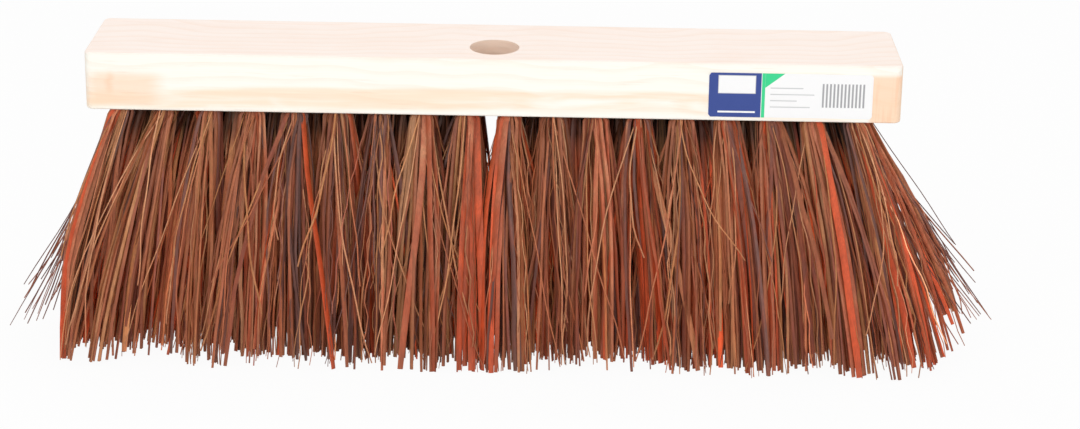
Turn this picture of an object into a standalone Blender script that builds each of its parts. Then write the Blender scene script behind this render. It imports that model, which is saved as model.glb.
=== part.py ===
"""Street broom head: a drilled wooden block filled with fanned tufts of coarse fibre.

Metres, +Z up, +X along the block, -Y the front with the label.
The origin is on the floor, under the middle of the broom, where the tips stand.
"""
import math
import random

import bmesh
import bpy
from mathutils import Vector

# Wooden block
BLOCK_LENGTH = 0.400
BLOCK_WIDTH = 0.065
BLOCK_HEIGHT = 0.029
CORNER_RADIUS = 0.004
CORNER_SEGMENTS = 4
EDGE_RADIUS = 0.0010
EDGE_SEGMENTS = 2

# Handle bore, right through the block, leaning to the front
BORE_DIAMETER = 0.0245
BORE_LEAN = math.radians(25.0)
BORE_AHEAD_OF_MIDDLE = 0.0102
BORE_SIDES = 24
BORE_OVERRUN = 0.012

# Tuft holes, in staggered rows that fill the underside inside a margin, drilled a little to the left
TUFTS_IN_OUTER_ROW = 18
ROW_END_MARGIN = 0.0198
TUFT_PITCH = (BLOCK_LENGTH - 2.0 * ROW_END_MARGIN) / (TUFTS_IN_OUTER_ROW - 1)
ROWS_EACH_SIDE = 2
ROW_SPACING = 0.01175
ROWS_LEFT_OF_MIDDLE = 0.0025
HOLE_DIAMETER = 0.010
HOLE_DEPTH = 0.0125
HOLE_SIDES = 10
DRILL_OVERRUN = 0.003
BORE_WALL = 0.0004

# How the tufts lean and fall
FREE_LENGTH = 0.1235
END_LEAN = math.radians(20.0)
END_LEAN_POWER = 2.5
OUTER_ROW_LEAN = math.radians(12.0)
DROOP = 0.25

# One tuft: a folded foot in its hole, a packed neck, then loose locks
SEAT_CLEARANCE = 0.0003
FOOT_END_CLEARANCE = 0.0005
FOLD_HEIGHT = 0.003
FOLD_NARROWING = 0.72
FOOT_PROUD = 0.0015
NECK_LENGTH = 0.011
NECK_RADIUS = 0.0066
LOCK_GAP = 0.0007
LOCK_TIP_SHARE = 0.5
LOCK_CLEARANCE = 0.0014
TIP_WANDER = 0.0012
OUTER_LOCKS = 6
HUB_LOCKS = 6
INNER_LOCKS = 5
OUTER_LOCK_STEPS = 3
INNER_LOCK_STEPS = 2

# Stray locks that stand out past the ends and the long sides
END_STRAY_PAST_BLOCK = 0.037
SIDE_STRAY_PAST_BLOCK = 0.0275
END_STRAY_REACH = BLOCK_LENGTH / 2.0 + END_STRAY_PAST_BLOCK
SIDE_STRAY_REACH = BLOCK_WIDTH / 2.0 + SIDE_STRAY_PAST_BLOCK
END_STRAY_HEIGHT = 0.026
SIDE_STRAY_HEIGHT = 0.010
END_STRAY_STEP = 0.003
SIDE_STRAY_EVERY = 3
CLING_TIP_HEIGHT = 0.006

# Paper label on the front face
LABEL_WIDTH = 0.080
LABEL_HEIGHT = 0.0224
LABEL_THICKNESS = 0.0002
LABEL_FROM_RIGHT_END = 0.0145
LABEL_FROM_UNDERSIDE = 0.0021
LABEL_CORNER_RADIUS = 0.0010
LABEL_CORNER_STEPS = 3

RANDOM_SEED = 7
SMOOTH_ANGLE = math.radians(35.0)


def clear_scene():
    for obj in list(bpy.data.objects):
        bpy.data.objects.remove(obj, do_unlink=True)


def make_material(name, colour, roughness, metallic=0.0):
    material = bpy.data.materials.new(name)
    material.use_nodes = True
    shader = material.node_tree.nodes["Principled BSDF"]
    shader.inputs["Base Color"].default_value = (*colour, 1.0)
    shader.inputs["Roughness"].default_value = roughness
    shader.inputs["Metallic"].default_value = metallic
    return material


def make_object(name, bm, material):
    mesh = bpy.data.meshes.new(name)
    bm.to_mesh(mesh)
    bm.free()
    mesh.materials.append(material)
    mesh.shade_smooth()
    mesh.set_sharp_from_angle(angle=SMOOTH_ANGLE)
    obj = bpy.data.objects.new(name, mesh)
    bpy.context.scene.collection.objects.link(obj)
    return obj


def make_tool(name, bm):
    """A cutter, or a piece that another takes in: seen as wire and left out of the model."""
    mesh = bpy.data.meshes.new(name)
    bm.to_mesh(mesh)
    bm.free()
    obj = bpy.data.objects.new(name, mesh)
    obj.hide_render = True
    obj.display_type = "WIRE"
    bpy.context.scene.collection.objects.link(obj)
    return obj


def add_boolean(obj, tool, operation):
    modifier = obj.modifiers.new(operation.lower() + "_" + tool.name, "BOOLEAN")
    modifier.operation = operation
    modifier.solver = "EXACT"
    modifier.object = tool


def loft(bm, rings):
    """Side faces through rings of equal count, capped at both ends. Returns the last cap."""
    levels = [[bm.verts.new(point) for point in ring] for ring in rings]
    count = len(levels[0])
    for upper, lower in zip(levels, levels[1:]):
        for i in range(count):
            j = (i + 1) % count
            bm.faces.new((upper[i], upper[j], lower[j], lower[i]))
    bm.faces.new(list(reversed(levels[0])))
    return bm.faces.new(levels[-1])


def ring_about(centre, axis, radius, sides, turn=0.0):
    """Points of a circle square to a downward axis, counted clockwise as seen from above."""
    across = axis.cross(Vector((0.0, 1.0, 0.0))).normalized()
    along = across.cross(axis)
    points = []
    for i in range(sides):
        angle = turn - 2.0 * math.pi * i / sides
        points.append(centre + radius * (math.cos(angle) * across + math.sin(angle) * along))
    return points


def heading(point, centre):
    return math.atan2(point.y - centre.y, point.x - centre.x)


def turn_between(first, second):
    """The size of the turn from one heading to another."""
    return abs(math.remainder(first - second, 2.0 * math.pi))


def drill_lean(x, y):
    """How far a tuft at (x, y) leans to the side and to the back, in radians."""
    last_x = (TUFTS_IN_OUTER_ROW - 1) * TUFT_PITCH / 2.0
    last_y = ROWS_EACH_SIDE * ROW_SPACING
    return END_LEAN * (x / last_x) ** END_LEAN_POWER, OUTER_ROW_LEAN * y / last_y


def tuft_centre(x, y, share):
    """The middle of a tuft that starts at (x, y), a share of the way from the block to the floor."""
    lean_x, lean_y = drill_lean(x, y)
    throw = FREE_LENGTH * (share - DROOP * share * share)
    return Vector((x + throw * math.tan(lean_x), y + throw * math.tan(lean_y), FREE_LENGTH * (1.0 - share)))


def tuft_axis(x, y):
    lean_x, lean_y = drill_lean(x, y)
    return Vector((math.tan(lean_x), math.tan(lean_y), -1.0)).normalized()


def bore_centre_at(height):
    """Where the bore's axis is at a height above the block's underside."""
    further_back = (BLOCK_HEIGHT - height) * math.tan(BORE_LEAN)
    return Vector((0.0, further_back - BORE_AHEAD_OF_MIDDLE, FREE_LENGTH + height))


def clears_bore(x, y, side_x, side_y):
    """Whether a quadrant's tuft hole leaves a wall of wood to the handle bore, from mouth to blind end."""
    reach = BORE_DIAMETER / 2.0 + HOLE_DIAMETER / 2.0 + BORE_WALL
    axis = tuft_axis(x, y)
    for height in (0.0, HOLE_DEPTH):
        hole = Vector((x, y, FREE_LENGTH + height)) + axis * (height / axis.z)
        bore = bore_centre_at(height)
        away_x = side_x * hole.x - ROWS_LEFT_OF_MIDDLE - bore.x
        away_y = side_y * hole.y - bore.y
        if math.hypot(away_x, away_y * math.cos(BORE_LEAN)) < reach:
            return False
    return True


def tip_radius_limit():
    """How far from its tuft's middle a tip may stand and stay clear of the next tuft's tips."""
    across = FREE_LENGTH * (1.0 - DROOP) * math.tan(OUTER_ROW_LEAN) / ROWS_EACH_SIDE
    diagonal = math.hypot(TUFT_PITCH / 2.0, ROW_SPACING + across)
    return 0.5 * min(TUFT_PITCH, diagonal) - LOCK_CLEARANCE - TIP_WANDER


def quadrant_tufts():
    """Places in the rear right quadrant, counted and measured from the rows' middle: (row, number, x, y)."""
    places = []
    for row in range(ROWS_EACH_SIDE + 1):
        outer_kind = row % 2 == ROWS_EACH_SIDE % 2
        shift = TUFT_PITCH / 2.0 if outer_kind else 0.0
        count = TUFTS_IN_OUTER_ROW // 2
        for number in range(count):
            x = shift + number * TUFT_PITCH
            y = row * ROW_SPACING
            if all(clears_bore(x, y, side_x, side_y) for side_x in (-1, 1) for side_y in (-1, 1)):
                places.append((row, number, x, y))
    return places


def drill_into(bm, x, y):
    """One tuft hole, drilled at the tuft's own lean: open below the block, flat at its blind end."""
    axis = tuft_axis(x, y)
    mouth = Vector((x, y, FREE_LENGTH))
    radius = HOLE_DIAMETER / 2.0
    ends = (mouth - axis * HOLE_DEPTH, mouth + axis * DRILL_OVERRUN)
    loft(bm, [ring_about(end, axis, radius, HOLE_SIDES) for end in ends])


def put_in_quadrant(bm, side_x, side_y):
    """Flips a mesh into its quadrant about the middle of the rows, with its faces still pointing out."""
    for vert in bm.verts:
        vert.co.x = side_x * vert.co.x - ROWS_LEFT_OF_MIDDLE
        vert.co.y *= side_y
    if side_x * side_y < 0:
        bmesh.ops.reverse_faces(bm, faces=bm.faces)


def height_change(edge):
    return abs(edge.verts[0].co.z - edge.verts[1].co.z)


def build_block(wood, places):
    bm = bmesh.new()
    bmesh.ops.create_cube(bm, size=1.0)
    for vert in bm.verts:
        vert.co.x *= BLOCK_LENGTH
        vert.co.y *= BLOCK_WIDTH
        vert.co.z = FREE_LENGTH + BLOCK_HEIGHT * (vert.co.z + 0.5)
    upright = [edge for edge in bm.edges if height_change(edge) > BLOCK_HEIGHT / 2.0]
    bmesh.ops.bevel(bm, geom=upright, offset=CORNER_RADIUS, segments=CORNER_SEGMENTS, profile=0.5,
                    affect="EDGES")
    rims = [edge for edge in bm.edges if height_change(edge) < EDGE_RADIUS / 2.0]
    bmesh.ops.bevel(bm, geom=rims, offset=EDGE_RADIUS, segments=EDGE_SEGMENTS, profile=0.5, affect="EDGES")
    block = make_object("block", bm, wood)

    drills = bmesh.new()
    for _, _, x, y in places:
        for side_x in ((-1, 1) if x > 0.0 else (1,)):
            for side_y in ((-1, 1) if y > 0.0 else (1,)):
                hole = bmesh.new()
                drill_into(hole, x, y)
                put_in_quadrant(hole, side_x, side_y)
                mesh = bpy.data.meshes.new("hole")
                hole.to_mesh(mesh)
                hole.free()
                drills.from_mesh(mesh)
                bpy.data.meshes.remove(mesh)
    add_boolean(block, make_tool("tuft_drills", drills), "DIFFERENCE")

    bore = bmesh.new()
    axis = Vector((0.0, math.sin(BORE_LEAN), -math.cos(BORE_LEAN)))
    top = bore_centre_at(BLOCK_HEIGHT) - axis * BORE_OVERRUN
    foot = bore_centre_at(0.0) + axis * BORE_OVERRUN
    loft(bore, [ring_about(end, axis, BORE_DIAMETER / 2.0, BORE_SIDES) for end in (top, foot)])
    add_boolean(block, make_tool("handle_bore", bore), "DIFFERENCE")
    return block


def grow_lock(bm, root_face, x, y, tip, steps):
    """Draws one lock out of a face of the neck, down along the tuft's fall to its tip."""
    root = root_face.calc_center_median()
    start_share = (FREE_LENGTH - root.z) / FREE_LENGTH
    end_share = (FREE_LENGTH - tip.z) / FREE_LENGTH
    start_offset = root - tuft_centre(x, y, start_share)
    end_offset = tip - tuft_centre(x, y, end_share)
    section = [vert.co - root for vert in root_face.verts]
    face = root_face
    for step in range(1, steps + 1):
        part = step / steps
        face = bmesh.ops.extrude_discrete_faces(bm, faces=[face])["faces"][0]
        centre = tuft_centre(x, y, start_share + (end_share - start_share) * part)
        centre += start_offset.lerp(end_offset, part)
        size = 1.0 + (LOCK_TIP_SHARE - 1.0) * part
        for vert, corner in zip(face.verts, section):
            vert.co = centre + corner * size
            if step == steps:
                vert.co.z = tip.z


def spread_tips(x, y, count, turn, rng):
    """Where the tips of a tuft stand: spread round its middle, each with a little wander."""
    reach = tip_radius_limit()
    middle = tuft_centre(x, y, 1.0)
    tips = []
    for i in range(count):
        angle = turn - 2.0 * math.pi * (i + 0.5) / count
        wander = TIP_WANDER * rng.uniform(0.0, 1.0)
        wander_angle = rng.uniform(0.0, 2.0 * math.pi)
        offset = Vector((reach * math.cos(angle) + wander * math.cos(wander_angle),
                         reach * math.sin(angle) + wander * math.sin(wander_angle), 0.0))
        tips.append(middle + offset)
    return tips


def nearest_tip(tips, middle, angle):
    """The number of the tip that stands most nearly in a heading from the middle."""
    return min(range(len(tips)), key=lambda i: turn_between(heading(tips[i], middle), angle))


def tuft_bmesh(x, y, steps, tips, turn):
    """One tuft in one closed skin: foot, neck and locks, as many locks as tips."""
    bm = bmesh.new()
    count = len(tips)
    axis = tuft_axis(x, y)
    mouth = Vector((x, y, FREE_LENGTH))
    neck_end = mouth + axis * NECK_LENGTH
    foot_radius = HOLE_DIAMETER / 2.0 * math.cos(math.pi / HOLE_SIDES) - SEAT_CLEARANCE
    foot_length = HOLE_DEPTH - FOOT_END_CLEARANCE
    rings = [
        ring_about(mouth - axis * foot_length, axis, foot_radius * FOLD_NARROWING, count, turn),
        ring_about(mouth - axis * (foot_length - FOLD_HEIGHT), axis, foot_radius, count, turn),
        ring_about(mouth + axis * FOOT_PROUD, axis, foot_radius, count, turn),
        ring_about(neck_end, axis, NECK_RADIUS, count, turn),
    ]
    neck_face = loft(bm, rings)
    wedges = bmesh.ops.poke(bm, faces=[neck_face])["faces"]
    bmesh.ops.inset_individual(bm, faces=wedges, thickness=LOCK_GAP / 2.0, use_even_offset=True)
    ordered = sorted(wedges, key=lambda face: (turn - heading(face.calc_center_median(), neck_end))
                     % (2.0 * math.pi))
    for face, tip in zip(ordered, tips):
        grow_lock(bm, face, x, y, tip, steps)
    return bm


def plan_single(row, number, x, y, side_x):
    """A tuft that stands by itself, with its stray locks where it is at an end or a long side."""
    rng = random.Random(RANDOM_SEED + 100 * row + number)
    count = OUTER_LOCKS
    turn = math.pi / count
    tips = spread_tips(x, y, count, turn, rng)
    middle = tuft_centre(x, y, 1.0)
    at_end = number == TUFTS_IN_OUTER_ROW // 2 - 1 and row % 2 == ROWS_EACH_SIDE % 2
    if at_end:
        outward = nearest_tip(tips, middle, 0.0)
        reach = END_STRAY_REACH + side_x * ROWS_LEFT_OF_MIDDLE - row * END_STRAY_STEP
        tips[outward] = Vector((reach, tips[outward].y, END_STRAY_HEIGHT))
    if row == ROWS_EACH_SIDE and number % SIDE_STRAY_EVERY == 1:
        outward = nearest_tip(tips, middle, math.pi / 2.0 - math.pi / count)
        tips[outward] = Vector((tips[outward].x, SIDE_STRAY_REACH, SIDE_STRAY_HEIGHT))
    return tips, turn


def plan_clump(number, hub, partner):
    """A middle tuft and the tufts before and behind it, whose nearest locks cling together.

    hub and partner are (x, y) of the middle tuft and of the one behind it; the one before it mirrors that.
    """
    rng = random.Random(RANDOM_SEED + 1000 + number)
    hub_middle = tuft_centre(*hub, 1.0)
    partner_middle = tuft_centre(*partner, 1.0)
    hub_turn = math.pi / HUB_LOCKS
    hub_tips = spread_tips(*hub, HUB_LOCKS, hub_turn, rng)
    partner_heading = heading(hub_middle, partner_middle)
    partner_turn = partner_heading + math.pi / INNER_LOCKS
    partner_tips = spread_tips(*partner, INNER_LOCKS, partner_turn, rng)
    meeting = (hub_middle + partner_middle) / 2.0
    hub_tips[nearest_tip(hub_tips, hub_middle, heading(partner_middle, hub_middle))] = meeting.copy()
    mirrored_meeting = Vector((meeting.x, -meeting.y, meeting.z))
    hub_tips[nearest_tip(hub_tips, hub_middle, -heading(partner_middle, hub_middle))] = mirrored_meeting
    partner_tips[0] = meeting + Vector((0.0, 0.0, CLING_TIP_HEIGHT))
    return hub_tips, hub_turn, partner_tips, partner_turn


def side_name(side_x):
    return "left" if side_x < 0 else "right"


def row_name(row, side_y):
    if row == 0:
        return "middle"
    return "front" if side_y < 0 else "rear"


def outer_row_number(side_x, number):
    """Counts the tufts of an outer row from 1 at the left end."""
    half = TUFTS_IN_OUTER_ROW // 2
    return half + 1 + number if side_x > 0 else half - number


def build_singles(fibre, places):
    """The outer rows and the end tufts, each its own piece."""
    for row, number, x, y in places:
        if not stands_alone(row, number, places):
            continue
        for side_x in ((-1, 1) if x > 0.0 else (1,)):
            tips, turn = plan_single(row, number, x, y, side_x)
            for side_y in ((-1, 1) if row > 0 else (1,)):
                bm = tuft_bmesh(x, y, OUTER_LOCK_STEPS, tips, turn)
                put_in_quadrant(bm, side_x, side_y)
                if row == ROWS_EACH_SIDE:
                    name = "tuft_%s_%02d" % (row_name(row, side_y), outer_row_number(side_x, number))
                else:
                    name = "tuft_%s_%s_%d" % (side_name(side_x), row_name(row, side_y), number + 1)
                make_object(name, bm, fibre)


def stands_alone(row, number, places):
    """Outer rows, end tufts, and inner tufts whose middle neighbour gave way to the handle bore."""
    if row == ROWS_EACH_SIDE or number == TUFTS_IN_OUTER_ROW // 2 - 1:
        return True
    kept = {(place[0], place[1]) for place in places}
    return (0, number) not in kept or (1, number) not in kept


def build_clumps(fibre, places):
    """The inner tufts, three to a piece: one of the middle row and its neighbours before and behind."""
    kept = {(place[0], place[1]): place[2:] for place in places}
    for (row, number), hub in kept.items():
        if row != 0 or stands_alone(row, number, places):
            continue
        partner = kept[(1, number)]
        hub_tips, hub_turn, partner_tips, partner_turn = plan_clump(number, hub, partner)
        for side_x in (-1, 1):
            bm = tuft_bmesh(*hub, INNER_LOCK_STEPS, hub_tips, hub_turn)
            put_in_quadrant(bm, side_x, 1)
            clump = make_object("tufts_inner_%s_%d" % (side_name(side_x), number + 1), bm, fibre)
            for side_y in (-1, 1):
                bm = tuft_bmesh(*partner, INNER_LOCK_STEPS, partner_tips, partner_turn)
                put_in_quadrant(bm, side_x, side_y)
                tool = make_tool("partner_%s_%d_%d" % (side_name(side_x), number + 1, side_y + 1), bm)
                add_boolean(clump, tool, "UNION")


def build_label(paper):
    """A thin rounded rectangle of paper, just clear of the block's front face."""
    bm = bmesh.new()
    right = BLOCK_LENGTH / 2.0 - LABEL_FROM_RIGHT_END
    low = FREE_LENGTH + LABEL_FROM_UNDERSIDE
    centre_x = right - LABEL_WIDTH / 2.0
    centre_z = low + LABEL_HEIGHT / 2.0
    back = -BLOCK_WIDTH / 2.0 - SEAT_CLEARANCE
    corners = [(1, 1, 0.0), (-1, 1, 0.5), (-1, -1, 1.0), (1, -1, 1.5)]
    outline = []
    for sign_x, sign_z, start in corners:
        for step in range(LABEL_CORNER_STEPS + 1):
            angle = math.pi * (start + 0.5 * step / LABEL_CORNER_STEPS)
            corner_x = centre_x + sign_x * (LABEL_WIDTH / 2.0 - LABEL_CORNER_RADIUS)
            corner_z = centre_z + sign_z * (LABEL_HEIGHT / 2.0 - LABEL_CORNER_RADIUS)
            x = corner_x + LABEL_CORNER_RADIUS * math.cos(angle)
            z = corner_z + LABEL_CORNER_RADIUS * math.sin(angle)
            outline.append(bm.verts.new((x, back, z)))
    face = bm.faces.new(outline)
    front = bmesh.ops.extrude_face_region(bm, geom=[face])["geom"]
    moved = [item for item in front if isinstance(item, bmesh.types.BMVert)]
    bmesh.ops.translate(bm, verts=moved, vec=(0.0, -LABEL_THICKNESS, 0.0))
    bmesh.ops.recalc_face_normals(bm, faces=bm.faces)
    make_object("label", bm, paper)


def main():
    clear_scene()
    wood = make_material("pale_softwood", (0.84, 0.66, 0.46), 0.62)
    fibre = make_material("mixed_fibre", (0.23, 0.075, 0.035), 0.75)
    paper = make_material("label_paper", (0.86, 0.87, 0.86), 0.45)
    places = quadrant_tufts()
    build_block(wood, places)
    build_label(paper)
    build_singles(fibre, places)
    build_clumps(fibre, places)


main()
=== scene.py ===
"""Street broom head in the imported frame: a pine block, a paper label and fanned tufts of stiff fibre.

Metres, +Z up, +X along the block, -Y the front with the label, origin on the floor at the tips.
"""

import math
from typing import NamedTuple

import bmesh
import bpy
import numpy as np
from mathutils import Matrix, Vector


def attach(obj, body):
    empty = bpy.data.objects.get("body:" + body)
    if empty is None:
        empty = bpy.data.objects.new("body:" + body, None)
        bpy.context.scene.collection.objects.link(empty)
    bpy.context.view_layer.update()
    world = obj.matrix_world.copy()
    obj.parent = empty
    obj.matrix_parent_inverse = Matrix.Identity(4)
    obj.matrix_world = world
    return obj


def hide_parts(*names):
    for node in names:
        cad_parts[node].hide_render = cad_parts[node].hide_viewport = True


SEED = 7
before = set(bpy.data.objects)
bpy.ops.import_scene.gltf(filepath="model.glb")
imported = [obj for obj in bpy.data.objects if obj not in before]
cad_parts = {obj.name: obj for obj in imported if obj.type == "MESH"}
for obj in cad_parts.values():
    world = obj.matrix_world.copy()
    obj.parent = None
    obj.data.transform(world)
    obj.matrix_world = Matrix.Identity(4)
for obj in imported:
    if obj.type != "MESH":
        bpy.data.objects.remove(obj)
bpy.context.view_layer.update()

# Sizes, as in the CAD source
BLOCK_LENGTH = 0.400
BLOCK_WIDTH = 0.065
BLOCK_HEIGHT = 0.029
CORNER_RADIUS = 0.004
EDGE_RADIUS = 0.0010
UNDERSIDE = 0.1235
TOP = UNDERSIDE + BLOCK_HEIGHT
FRONT = -BLOCK_WIDTH / 2
END = BLOCK_LENGTH / 2

BORE_DIAMETER = 0.0245
BORE_LEAN = math.radians(25.0)
BORE_AHEAD_BY = 0.0102

PITCH = 0.0212
ROW_SPACING = 0.01175
ROWS_LEFT_BY = 0.0025
OUTER_ROW = 2
HALF_ROW = 9
HOLE_DIAMETER = 0.010
HOLE_DEPTH = 0.0125
FREE_LENGTH = UNDERSIDE
END_LEAN = math.radians(20.0)
END_LEAN_POWER = 2.5
OUTER_ROW_LEAN = math.radians(12.0)
DROOP = 0.25
LAST_X = PITCH * (HALF_ROW - 0.5)
LAST_Y = OUTER_ROW * ROW_SPACING

# Small helpers

def srgb(red, green, blue):
    """A colour given in 0-255 display values, as Blender's linear values."""
    def linear(value):
        value /= 255.0
        return value / 12.92 if value <= 0.04045 else ((value + 0.055) / 1.055) ** 2.4
    return (linear(red), linear(green), linear(blue), 1.0)


def link_object(name, data, material=None):
    """A new object in the scene, from a mesh, light or camera."""
    obj = bpy.data.objects.new(name, data)
    bpy.context.scene.collection.objects.link(obj)
    if material is not None:
        data.materials.append(material)
    return obj


def mesh_from(bm, name):
    mesh = bpy.data.meshes.new(name)
    bm.to_mesh(mesh)
    bm.free()
    return mesh


def shade_smooth_but(mesh, sharp_degrees):
    """Smooth shading, but for edges that turn more than so many degrees."""
    mesh.shade_smooth()
    mesh.set_sharp_from_angle(angle=math.radians(sharp_degrees))


def eased(share):
    """A share from 0 to 1 that starts and ends gently."""
    return share * share * (3 - 2 * share)


class Nodes:
    """Short calls for building the nodes of a material or a world."""

    def __init__(self, owner):
        owner.use_nodes = True
        self.owner = owner
        self.tree = owner.node_tree
        self.shader = self.tree.nodes.get("Principled BSDF")

    def feed(self, node, values):
        """Gives a node's inputs their values: numbers, colours or other nodes' outputs."""
        for key, value in values.items():
            if isinstance(value, bpy.types.NodeSocket):
                self.tree.links.new(value, node.inputs[key])
            else:
                node.inputs[key].default_value = value

    def add(self, kind, values=None, **settings):
        node = self.tree.nodes.new(kind)
        for key, value in settings.items():
            setattr(node, key, value)
        self.feed(node, values or {})
        return node

    def math(self, operation, first, second=0.0, clamp=False):
        node = self.add("ShaderNodeMath", {0: first, 1: second}, operation=operation, use_clamp=clamp)
        return node.outputs[0]

    def plus(self, first, second):
        return self.math("ADD", first, second)

    def minus(self, first, second):
        return self.math("SUBTRACT", first, second)

    def times(self, first, second):
        return self.math("MULTIPLY", first, second)

    def distance(self, first, second):
        """The distance from the origin, from two coordinates."""
        return self.math("SQRT", self.plus(self.times(first, first), self.times(second, second)))

    def remap(self, value, low, high, to_low=0.0, to_high=1.0, smooth=True):
        """A value taken from one range to another."""
        values = {"Value": value, "From Min": low, "From Max": high, "To Min": to_low, "To Max": to_high}
        kind = "SMOOTHSTEP" if smooth else "LINEAR"
        return self.add("ShaderNodeMapRange", values, interpolation_type=kind).outputs["Result"]

    def above(self, value, limit, soft):
        """0 below a limit and 1 above it, with an edge that is soft so far to each side."""
        return self.remap(value, limit - soft, limit + soft)

    def below(self, value, limit, soft):
        return self.minus(1.0, self.above(value, limit, soft))

    def band(self, value, low, high, soft):
        """1 between two limits and 0 outside them, with soft edges."""
        return self.times(self.above(value, low, soft), self.below(value, high, soft))

    def mix(self, factor, first, second, blend="MIX"):
        values = {"Factor": factor, 6: first, 7: second}
        return self.add("ShaderNodeMix", values, data_type="RGBA", blend_type=blend).outputs[2]

    def coordinates(self):
        """x, y and z. The pieces sit at the origin, so these are the frame's metres."""
        point = self.add("ShaderNodeTexCoord").outputs["Object"]
        return self.add("ShaderNodeSeparateXYZ", {0: point}).outputs

    def noise(self, cells, shift=(0.0, 0.0, 0.0), detail=2.0, roughness=0.5, distortion=0.0, w=None):
        """Noise with so many cells to the metre along x, y and z. With w, it differs from fibre to fibre."""
        point = self.add("ShaderNodeTexCoord").outputs["Object"]
        place = self.add("ShaderNodeMapping", {"Vector": point, "Scale": cells, "Location": shift})
        values = {"Vector": place.outputs["Vector"], "Scale": 1.0, "Detail": detail,
                  "Roughness": roughness, "Distortion": distortion}
        if w is not None:
            values["W"] = w
        dimensions = "3D" if w is None else "4D"
        return self.add("ShaderNodeTexNoise", values, noise_dimensions=dimensions).outputs["Fac"]

    def wander(self, noise, size):
        """A shift to either side that follows a noise."""
        return self.times(self.minus(noise, 0.5), size)

    def ramp(self, factor, stops):
        node = self.add("ShaderNodeValToRGB", {"Fac": factor})
        elements = node.color_ramp.elements
        while len(elements) < len(stops):
            elements.new(0.5)
        for element, (position, colour) in zip(elements, stops):
            element.position = position
            element.color = colour
        return node.outputs["Color"]

    def bump(self, height, distance, strength):
        node = self.add("ShaderNodeBump", {"Strength": strength, "Distance": distance, "Height": height})
        self.feed(self.shader, {"Normal": node.outputs["Normal"]})


# Pine block

CREAM = srgb(250, 248, 239)
PEACH = srgb(249, 229, 206)
BLUSH = srgb(252, 240, 232)
DEEP_BLUSH = srgb(251, 236, 226)
AMBER = srgb(238, 194, 154)
APRICOT = srgb(249, 212, 180)
ROSE = srgb(247, 196, 160)
END_GRAIN = srgb(244, 216, 188)
PORE = srgb(205, 160, 120)
FINE_GRAIN = srgb(222, 184, 150)
BORE_DARK = srgb(251, 226, 208)
BORE_PALE = srgb(255, 241, 228)

# The heart of the tree runs along the block, to the rear and below: its place, how far it wanders, the
# growth rings to the metre, and how far the fine grain shifts them.
HEART_Y = 0.055
HEART_Z = 0.065
HEART_WANDER = 0.050
RINGS = 210.0
RING_SHIFT = 0.55

# The front's figure: limits along x, or above the underside.
PEACH_RING = (0.0022, 0.0125)
RIGHT_PATCH_X = (0.1845, 0.2050)
RIGHT_PATCH_HEIGHT = (-0.0040, BLOCK_HEIGHT - 0.0050)
LEFT_PATCH_X = (-0.1985, -0.1650)
LEFT_PATCH_HEIGHT = (0.0050, 0.0185)
SCAR_X = (-0.1895, -0.1865)
SCAR_HEIGHT = (0.0090, 0.0185)
PATCHES_FADE_Y = (-0.025, 0.030)

# The block's finer mesh, and how far its drills reach above and below the mouths they cut
EDGE_STEPS = 5
CORNER_STEPS = 8
BORE_SIDES = 72
HOLE_SIDES = 20
BORE_TOOL_ABOVE = 0.012
BORE_TOOL_BELOW = 0.048
HOLE_TOOL_BELOW = 0.003


def late_wood(n, y, z, fine):
    """1 on the dark side of each growth ring."""
    drift = n.wander(n.noise((7.8, 3.0, 3.0)), HEART_WANDER)
    radius = n.distance(n.minus(y, HEART_Y), n.plus(n.minus(z, HEART_Z), drift))
    phase = n.math("FRACT", n.plus(n.times(radius, RINGS), n.times(fine, RING_SHIFT)))
    return n.times(n.remap(phase, 0.45, 0.93), n.minus(1.0, n.remap(phase, 0.93, 1.0)))


def front_figure(n, x, y, z, ends):
    """The planed front: a broad peach-coloured ring over a pale edge, and an apricot patch near each end."""
    up = n.minus(z, UNDERSIDE)
    streaks = n.noise((10.0, 30.0, 240.0), (0.0, 2.0, 0.4), 3.0, 0.6, 0.3)
    patches = n.noise((14.0, 30.0, 70.0), (0.3, 0.1, 0.0), 3.0, 0.55, 0.4)
    height = n.plus(up, n.wander(n.noise((5.0, 22.0, 40.0), (4.0, 2.0, 1.0)), 0.016))
    ring = n.times(n.band(height, *PEACH_RING, 0.0016), n.remap(patches, 0.30, 0.52))
    ring = n.times(ring, n.remap(streaks, 0.28, 0.60, 0.45, 1.0))
    base = n.mix(ring, CREAM, PEACH)

    # Near both ends the planer cut steeply through the rings and left upright strokes.
    ahead = n.minus(1.0, n.remap(y, *PATCHES_FADE_Y))
    left_x = n.plus(x, n.wander(streaks, 0.016))
    left = n.times(n.band(left_x, *LEFT_PATCH_X, 0.0060), n.band(height, *LEFT_PATCH_HEIGHT, 0.0020))
    right = n.times(n.band(x, *RIGHT_PATCH_X, 0.0014),
                    n.math("MAXIMUM", ends, n.band(up, *RIGHT_PATCH_HEIGHT, 0.0014)))
    right = n.times(right, ahead)
    base = n.mix(n.times(n.times(left, ahead), 0.62), base, APRICOT)
    base = n.mix(n.times(right, 0.85), base, APRICOT)
    upright = n.noise((420.0, 60.0, 30.0), (0.7, 0.0, 0.0))
    strokes = n.times(right, n.remap(upright, 0.48, 0.62))
    scar_x = n.plus(x, n.wander(streaks, 0.006))
    scar = n.times(n.band(scar_x, *SCAR_X, 0.0018), n.band(up, *SCAR_HEIGHT, 0.0030))
    return n.mix(n.times(n.math("MAXIMUM", strokes, scar), 0.42), base, ROSE)


def bore_wall(n, x, y, z):
    """1 on the wall of the handle bore, 0 on the block's faces."""
    shift = n.times(n.minus(z, TOP), math.tan(BORE_LEAN))
    across = n.times(n.plus(n.plus(y, BORE_AHEAD_BY), shift), math.cos(BORE_LEAN))
    edge = BORE_DIAMETER / 2
    return n.minus(1.0, n.remap(n.distance(across, x), edge + 0.0001, edge + 0.0006))


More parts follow.
